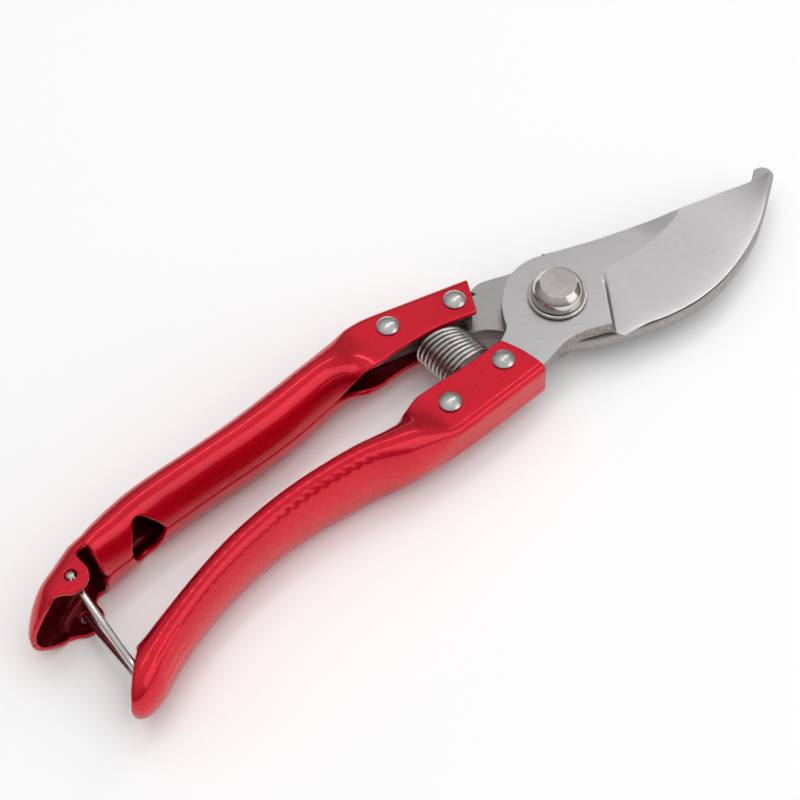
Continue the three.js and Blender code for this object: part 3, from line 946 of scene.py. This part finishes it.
def counter_blade():
    outline = [
        *arc(62.85, -7.05, 2.6, -60, 95, 20),
        *spline([(60.2, -6), (52, -9.5), (42, -12.3), (31, -13.2), (21, -10.8), (13.5, -5), (12, 3)], 70),
        *spline([(11, 7.2), (6, 11.6), (-0.6, 14.1), (-5.2, 16.15), (-8, 17.25), (-10.2, 17.2)], 30),
        (-11.3, 16.9),
        upper_point(-6.6, TANG_OUT),
        upper_point(0, TANG_OUT),
        upper_point(TANG_END, TANG_OUT),
        upper_point(TANG_END + 1.5, 0),
        upper_point(TANG_END, TANG_IN),
        upper_point(NIB_AT[1], TANG_IN),
        upper_point(NIB_AT[1] - 0.6, NIB_IN),
        upper_point(NIB_AT[0] + 0.6, NIB_IN),
        upper_point(NIB_AT[0], TANG_IN),
        (-21.2, 10.7),
        (-19.7, 9.3),
        *spline([(-18.9, 8.1), (-16.1, 6.4), (-13.6, 3.2), (-12.4, 0), (-11, -5), (-5.4, -9.3)], 36),
        *spline([(-0.2, -12.9), (5.5, -15.8), (14, -19.4), (25, -22), (34, -21.8), (43.6, -19.7)], 50),
        *spline([(49.3, -17.7), (56.4, -13.9), (64.1, -9.3)], 24)[:-1],
    ]
    piece = ground_plate("counter_blade_plate", outline, -PLATE_TOP, -PLATE_GAP, 0.2)
    cut(piece, [pivot_cutter(), *rivet_cutters("upper")])
    keep_flats(piece, 50)
    return piece


# ---- Turned pieces ----

WASHER_LOW = PLATE_TOP + GAP
WASHER_HIGH = WASHER_LOW + 0.8
CAP_LOW = WASHER_HIGH + GAP
BACK_HIGH = -PLATE_TOP - GAP
BACK_LOW = BACK_HIGH - 0.9
NUT_HIGH = BACK_LOW - GAP
NUT_LOW = -GRIP_H
NECK_Z = -PLATE_TOP + 0.4


def pivot_bolt():
    dome = spline([(CAP_R, CAP_LOW + 0.35), (CAP_R - 0.6, CAP_TOP - 1.5), (CAP_FLAT_R, CAP_TOP)], 20)
    profile = [
        (0, NUT_LOW + GAP),
        (THREAD_R, NUT_LOW + GAP),
        (THREAD_R, NECK_Z),
        (SHANK_R, NECK_Z),
        (SHANK_R, CAP_LOW),
        (CAP_R, CAP_LOW),
        *dome,
        (CAP_FLAT_R - 0.3, CAP_TOP),
        (0, CAP_TOP),
    ]
    return turned("pivot_cap_bolt", profile, radius=0.3, sides=128)


def flat_ring(name, inner, outer, low, high, radius):
    section = [(inner, low), (outer, low), (outer, high), (inner, high)]
    return turned(name, section, closed=True, radius=radius)


def pivot_nut():
    corner = NUT_FLATS / 2 / math.cos(math.pi / 6)
    piece = prism("pivot_hex_nut", arc(0, 0, corner, 0, 300, 5), NUT_LOW, NUT_HIGH)
    cut(piece, [prism("hole", circle(0, 0, THREAD_R + GAP, 64), -THROUGH, THROUGH)])
    soften(piece, 0.35, 3, 40)
    return piece


def rivet(name):
    x, y = RIVETS[name]
    under = CHANNEL_H + GAP
    dome = arc(0, under - 2.65, 3.75, 45, 90, 10)
    upper = [(RIVET_SHANK_R, under), (RIVET_R, under), *dome[1:-1], (0, under + RIVET_HEAD_H)]
    lower = [(r, -z) for r, z in upper][::-1]
    return turned(name + "_head", [*lower, *upper], (x, y), sides=64, radius=0.12)


# ---- Wire pieces ----


def centripetal(points, steps):
    """A smooth curve through 3-D points, evenly behaved where they crowd together."""
    pts = [Vector(p) for p in points]
    pts = [pts[0] * 2 - pts[1], *pts, pts[-1] * 2 - pts[-2]]
    out = []
    for p0, p1, p2, p3 in zip(pts, pts[1:], pts[2:], pts[3:]):
        t0 = 0
        t1 = (p1 - p0).length ** 0.5
        t2 = t1 + (p2 - p1).length ** 0.5
        t3 = t2 + (p3 - p2).length ** 0.5
        for k in range(steps):
            t = t1 + (t2 - t1) * k / steps
            a1 = p0 * ((t1 - t) / (t1 - t0)) + p1 * ((t - t0) / (t1 - t0))
            a2 = p1 * ((t2 - t) / (t2 - t1)) + p2 * ((t - t1) / (t2 - t1))
            a3 = p2 * ((t3 - t) / (t3 - t2)) + p3 * ((t - t2) / (t3 - t2))
            b1 = a1 * ((t2 - t) / (t2 - t0)) + a2 * ((t - t0) / (t2 - t0))
            b2 = a2 * ((t3 - t) / (t3 - t1)) + a3 * ((t - t1) / (t3 - t1))
            out.append(b1 * ((t2 - t) / (t2 - t1)) + b2 * ((t - t1) / (t2 - t1)))
    out.append(pts[-2])
    return out


def return_spring():
    path = []
    per_turn = 40
    for i in range(SPRING_TURNS * per_turn + 1):
        t = i / (SPRING_TURNS * per_turn)
        turn = 2 * math.pi * SPRING_TURNS * t
        across = SPRING_R * math.cos(turn)
        tilt = SPRING_LOW_TILT + (SPRING_HIGH_TILT - SPRING_LOW_TILT) * t
        height = SPRING_LOW + (SPRING_HIGH - SPRING_LOW) * t
        path.append((
            SPRING_X + across * math.cos(tilt),
            height - across * math.sin(tilt),
            SPRING_R * math.sin(turn),
        ))
    return tube("return_spring_coil", path, SPRING_WIRE_R, 12)


def lock_wire():
    end_x, end_y = LOOP_END
    leg = GRIP_H - SHEET - WIRE_R - GAP
    half = [
        (PIN[0], PIN[1], GRIP_H - 0.2),
        (PIN[0], PIN[1], GRIP_H - SHEET + 0.1),
        (PIN[0] - 0.03, PIN[1] - 0.3, leg + 0.35),
        (PIN[0] - 0.12, PIN[1] - 1.2, leg - 0.05),
        (PIN[0] - 0.4, PIN[1] - 4, leg - 0.6),
        (PIN[0] - 1.2, PIN[1] - 12, leg - 2.1),
        (end_x + 0.15, end_y + 3, LOOP_HALF + 0.35),
        (end_x + 0.03, end_y + 1.1, LOOP_HALF),
        (end_x, end_y + 0.25, LOOP_HALF - 0.45),
        (end_x, end_y, LOOP_HALF - 1.4),
    ]
    points = half + [(x, y, -z) for x, y, z in half[::-1]]
    return tube("lock_wire_loop", centripetal(points, 16), WIRE_R, 20)


# ---- Materials ----


class Nodes:
    """A short way to write a node tree."""

    def __init__(self, name):
        self.material = bpy.data.materials.new(name)
        self.material.use_nodes = True
        self.tree = self.material.node_tree
        self.shader = self.tree.nodes["Principled BSDF"]
        self.object = self.add("ShaderNodeTexCoord").outputs["Object"]

    def add(self, kind, inputs=(), **settings):
        node = self.tree.nodes.new(kind)
        for key, value in settings.items():
            setattr(node, key, value)
        for key, value in dict(inputs).items():
            self.put(node, key, value)
        return node

    def put(self, node, key, value):
        if isinstance(value, bpy.types.NodeSocket):
            self.tree.links.new(value, node.inputs[key])
        else:
            node.inputs[key].default_value = value

    def set(self, **values):
        for key, value in values.items():
            self.put(self.shader, key.replace("_", " "), value)

    def scaled(self, scale, turn=0.0):
        """Object coordinates, turned about Z and then scaled."""
        first = self.add("ShaderNodeMapping", {"Vector": self.object, "Rotation": (0, 0, turn)})
        inputs = {"Vector": first.outputs["Vector"], "Scale": scale}
        return self.add("ShaderNodeMapping", inputs).outputs["Vector"]

    def noise(self, vector, scale, detail=3.0, rough=0.5):
        return self.add("ShaderNodeTexNoise", {
            "Vector": vector, "Scale": scale, "Detail": detail, "Roughness": rough,
        }).outputs["Fac"]

    def span(self, value, low, high, from_low=0.0, from_high=1.0):
        return self.add("ShaderNodeMapRange", {
            "Value": value, "From Min": from_low, "From Max": from_high, "To Min": low, "To Max": high,
        }).outputs["Result"]

    def math(self, operation, a, b=0.0):
        return self.add("ShaderNodeMath", {0: a, 1: b}, operation=operation).outputs["Value"]

    def mix(self, factor, a, b):
        node = self.add("ShaderNodeMix", data_type="RGBA")
        self.put(node, "Factor", factor)
        for socket, value in ((node.inputs[6], a), (node.inputs[7], b)):
            if isinstance(value, bpy.types.NodeSocket):
                self.tree.links.new(value, socket)
            else:
                socket.default_value = (*value, 1)
        return node.outputs[2]

    def bump(self, height, strength, distance, normal=None):
        inputs = {"Height": height, "Strength": strength, "Distance": distance}
        if normal is not None:
            inputs["Normal"] = normal
        return self.add("ShaderNodeBump", inputs).outputs["Normal"]


def red_enamel(name, tones, coat):
    """Clear red lacquer over bright steel, with fine flakes, light scuffs and some orange peel."""
    n = Nodes(name)
    cloud = n.noise(n.object, 60, 4, 0.6)
    fleck = n.noise(n.object, 1400, 2, 0.6)
    base = n.mix(n.span(cloud, 0, 1, 0.3, 0.7), tones[0], tones[1])
    tint = n.mix(n.span(fleck, 0, 0.2, 0.45, 0.75), base, tones[2])
    peel = n.noise(n.object, 420, 2, 0.5)
    scuff = n.noise(n.scaled((30, 240, 240)), 5, 5, 0.65)
    n.set(
        Base_Color=tint,
        Metallic=0.62,
        Roughness=n.span(scuff, 0.26, 0.29, 0.3, 0.75),
        Normal=n.bump(peel, 0.05, 0.0003),
    )
    n.set(Specular_Tint=(0.6, 0.02, 0.04, 1))
    n.set(Coat_Weight=coat, Coat_Roughness=0.05, Coat_IOR=1.45, Coat_Tint=(1, 0.9, 0.92, 1))
    return n.material


def ground_steel(name, turn, tone, side_tones, face_rough=0.3):
    """Ground steel: fine lines across the faces, and rougher, darker sheared sides."""
    n = Nodes(name)
    lines = n.noise(n.scaled((110, 4200, 4200), -turn), 1, 4, 0.6)
    broad = n.noise(n.scaled((60, 900, 900), -turn), 1, 3, 0.5)
    cloud = n.noise(n.object, 45, 4, 0.6)
    up = n.add("ShaderNodeSeparateXYZ", {"Vector": n.add("ShaderNodeNewGeometry").outputs["Normal"]})
    flatness = n.math("ABSOLUTE", up.outputs["Z"])
    side = n.span(flatness, 1, 0, 0.35, 0.75)
    shade = n.mix(n.span(lines, 0, 1, 0.3, 0.7), tuple(0.86 * c for c in tone), tone)
    shade = n.mix(n.span(cloud, 0, 0.25, 0.35, 0.8), shade, tuple(0.8 * c for c in tone))
    grit = n.noise(n.object, 1700, 4, 0.7)
    sheared = n.mix(n.span(grit, 0, 1, 0.35, 0.65), *side_tones)
    face = n.span(broad, face_rough - 0.02, face_rough + 0.03, 0.3, 0.7)
    rough = n.math("ADD", face, n.math("MULTIPLY", side, 0.2))
    fine = n.bump(lines, 0.1, 0.00008)
    n.set(
        Base_Color=n.mix(side, shade, sheared),
        Metallic=1.0,
        Roughness=rough,
        Normal=n.bump(n.math("MULTIPLY", grit, side), 0.5, 0.0002, fine),
    )
    return n.material


def polished(name, tone, rough):
    n = Nodes(name)
    cloud = n.noise(n.object, 220, 4, 0.6)
    scratch = n.noise(n.scaled((200, 1800, 900), 0.6), 1, 3, 0.6)
    n.set(
        Base_Color=n.mix(n.span(cloud, 0, 1, 0.35, 0.7), tone, tuple(0.85 * c for c in tone)),
        Metallic=1.0,
        Roughness=n.span(scratch, rough - 0.04, rough + 0.08, 0.35, 0.7),
        Normal=n.bump(cloud, 0.06, 0.0003),
    )
    return n.material


# Near-black steel for the spacer plates. Its darkness is painted shade for their place under the handles'
# top walls, with a random cloud in tone and roughness.
def dark_steel():
    n = Nodes("dark_steel")
    cloud = n.noise(n.object, 120, 5, 0.65)
    n.set(
        Base_Color=n.mix(cloud, (0.05, 0.045, 0.045), (0.2, 0.18, 0.17)),
        Metallic=0.9,
        Roughness=n.span(cloud, 0.4, 0.7),
        Normal=n.bump(cloud, 0.3, 0.0003),
    )
    return n.material


def finish_piece(piece, material, slot, body, *nodes):
    kinds = [face.material_index for face in piece.data.polygons]
    piece.data.materials.clear()
    for each in material if isinstance(material, tuple) else (material,):
        piece.data.materials.append(each)
    piece.data.polygons.foreach_set("material_index", kinds)
    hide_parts(*nodes)
    if body:
        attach(piece, body)
    return piece


OUTSIDE_REDS = ((0.6, 0.003, 0.02), (0.72, 0.005, 0.028), (0.78, 0.014, 0.038))
# The inside reds are much darker than the outside reds: painted shade for the inner faces of the handle
# channels. That copy also has a thinner coat.
INSIDE_SHADE_REDS = ((0.1, 0.002, 0.006), (0.15, 0.003, 0.009), (0.2, 0.005, 0.012))
BLADE_SIDES = ((0.22, 0.19, 0.18), (0.5, 0.46, 0.44))
HOOK_SIDES = ((0.36, 0.34, 0.33), (0.5, 0.48, 0.47))
RED = (
    red_enamel("red_enamel", OUTSIDE_REDS, 0.75),
    red_enamel("red_enamel_inside_painted_shade", INSIDE_SHADE_REDS, 0.3),
)
BLADE = ground_steel("blade_steel", math.radians(-38), (0.66, 0.645, 0.65), BLADE_SIDES)
HOOK = ground_steel("hook_steel", math.radians(-30), (0.52, 0.5, 0.5), HOOK_SIDES, 0.34)
NICKEL = polished("nickel_plate", (0.74, 0.7, 0.66), 0.16)
RIVET = polished("rivet_steel", (0.7, 0.69, 0.67), 0.26)
SPRING = polished("spring_steel", (0.72, 0.7, 0.68), 0.2)
WIRE = polished("wire_steel", (0.72, 0.71, 0.69), 0.2)
SPACER_SHADE_STEEL = dark_steel()

# ---- Assembly ----

finish_piece(upper_handle(), RED, "red_enamel", HOOK_SIDE, "upper_handle")
finish_piece(lower_handle(), RED, "red_enamel", BLADE_SIDE, "lower_handle")
finish_piece(cutting_blade(), BLADE, "blade_steel", BLADE_SIDE, "cutting_blade")
finish_piece(counter_blade(), HOOK, "blade_steel", HOOK_SIDE, "counter_blade")
finish_piece(pivot_bolt(), NICKEL, "nickel_plate", HOOK_SIDE, "pivot_bolt")
washer = flat_ring("pivot_flange_washer", SHANK_R + GAP, WASHER_R, WASHER_LOW, WASHER_HIGH, 0.3)
finish_piece(washer, NICKEL, "nickel_plate", HOOK_SIDE, "pivot_washer")
washer = flat_ring("pivot_back_washer", THREAD_R + GAP, WASHER_R + 1, BACK_LOW, BACK_HIGH, 0.25)
finish_piece(washer, NICKEL, "nickel_plate", HOOK_SIDE, "back_washer")
finish_piece(pivot_nut(), NICKEL, "nickel_plate", HOOK_SIDE, "pivot_nut")
for rivet_name in RIVETS:
    body = HOOK_SIDE if rivet_name.startswith("upper") else BLADE_SIDE
    finish_piece(rivet(rivet_name), RIVET, "rivet_steel", body, rivet_name)
finish_piece(lock_wire(), WIRE, "wire_steel", LOCK, "lock_wire")
coil = finish_piece(return_spring(), SPRING, "spring_steel", None, "return_spring")
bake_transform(coil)
# The spacer plates take the near-black steel: painted shade under the handles' top walls.
for node in ("upper_spacer_plate", "lower_spacer_plate"):
    frame["nodes"][node].data.materials.clear()
    frame["nodes"][node].data.materials.append(SPACER_SHADE_STEEL)

# ---- Studio ----

scene = bpy.context.scene


FLOOR_HALF = 3000


def backdrop():
    n = Nodes("studio_floor")
    cloud = n.noise(n.object, 3, 2, 0.5)
    n.set(Base_Color=n.mix(cloud, (0.93, 0.93, 0.93), (0.96, 0.96, 0.96)), Roughness=0.9)
    n.set(Specular_IOR_Level=0.1)
    low = -GRIP_H - CLEAR
    corners = ((-1, -1), (1, -1), (1, 1), (-1, 1))
    points = [(x * FLOOR_HALF, y * FLOOR_HALF, low) for x, y in corners]
    floor = from_lists("studio_floor", points, [[0, 1, 2, 3]])
    floor.data.materials.append(n.material)


def soft_light(name, way, distance, size, power, turn=0.0):
    """An area light in the direction way from the object's middle, facing it."""
    data = bpy.data.lights.new(name, "AREA")
    data.shape = "RECTANGLE"
    data.size, data.size_y = size
    data.energy = power
    lamp = bpy.data.objects.new(name, data)
    scene.collection.objects.link(lamp)
    way = Vector(way).normalized()
    lamp.location = way * distance
    facing = way.to_track_quat("Z", "X").to_matrix()
    lamp.rotation_euler = (facing @ Matrix.Rotation(turn, 3, "Z")).to_euler()
    return lamp


backdrop()
soft_light("strip", (0.355, 0.2, 0.915), 1.2, (1.4, 0.08), 1.4, math.radians(-29))
soft_light("side", (0.355, -0.75, 0.45), 1.3, (0.9, 0.9), 2.6)
# The fill brightens the floor and leaves no reflection of its own.
soft_light("fill", (0.1, -0.1, 1), 1.5, (2, 2), 14).visible_glossy = False


def studio_sky():
    """A pale dome, brighter overhead than at the horizon."""
    world = bpy.data.worlds.new("studio")
    world.use_nodes = True
    tree = world.node_tree
    height = tree.nodes.new("ShaderNodeSeparateXYZ")
    ramp = tree.nodes.new("ShaderNodeMapRange")
    ramp.inputs["To Min"].default_value = 0.07
    ramp.inputs["To Max"].default_value = 0.72
    coordinates = tree.nodes.new("ShaderNodeTexCoord")
    tree.links.new(coordinates.outputs["Generated"], height.inputs["Vector"])
    tree.links.new(height.outputs["Z"], ramp.inputs["Value"])
    tree.nodes["Background"].inputs["Color"].default_value = (1, 1, 1, 1)
    tree.links.new(ramp.outputs["Result"], tree.nodes["Background"].inputs["Strength"])
    scene.world = world


studio_sky()
scene.view_settings.view_transform = "Standard"

# The camera: a long lens that looks down from the left front, a little rolled.
CAMERA_ELEVATION = math.radians(56.5)
CAMERA_AZIMUTH = math.radians(-40)
CAMERA_ROLL = math.radians(-3.5)
CAMERA_DISTANCE = 0.4222
CAMERA_AIM = Vector((-0.00645, 0.00352, 0.0103))
CAMERA_LENS = 85.5

camera_data = bpy.data.cameras.new("camera")
camera_data.lens = CAMERA_LENS
camera_data.sensor_width = 36
camera_data.clip_start = 0.01
camera_data.clip_end = 20
camera = bpy.data.objects.new("camera", camera_data)
scene.collection.objects.link(camera)
turn = Matrix.Rotation(CAMERA_AZIMUTH, 3, "Z")
toward = turn @ Vector((0, math.cos(CAMERA_ELEVATION), -math.sin(CAMERA_ELEVATION)))
right = turn @ Vector((1, 0, 0))
up = right.cross(toward)
level = right * math.cos(CAMERA_ROLL) + up * math.sin(CAMERA_ROLL)
upright = up * math.cos(CAMERA_ROLL) - right * math.sin(CAMERA_ROLL)
axes = Matrix((level, upright, -toward)).transposed()
camera.matrix_world = Matrix.Translation(CAMERA_AIM - toward * CAMERA_DISTANCE) @ axes.to_4x4()
scene.camera = camera
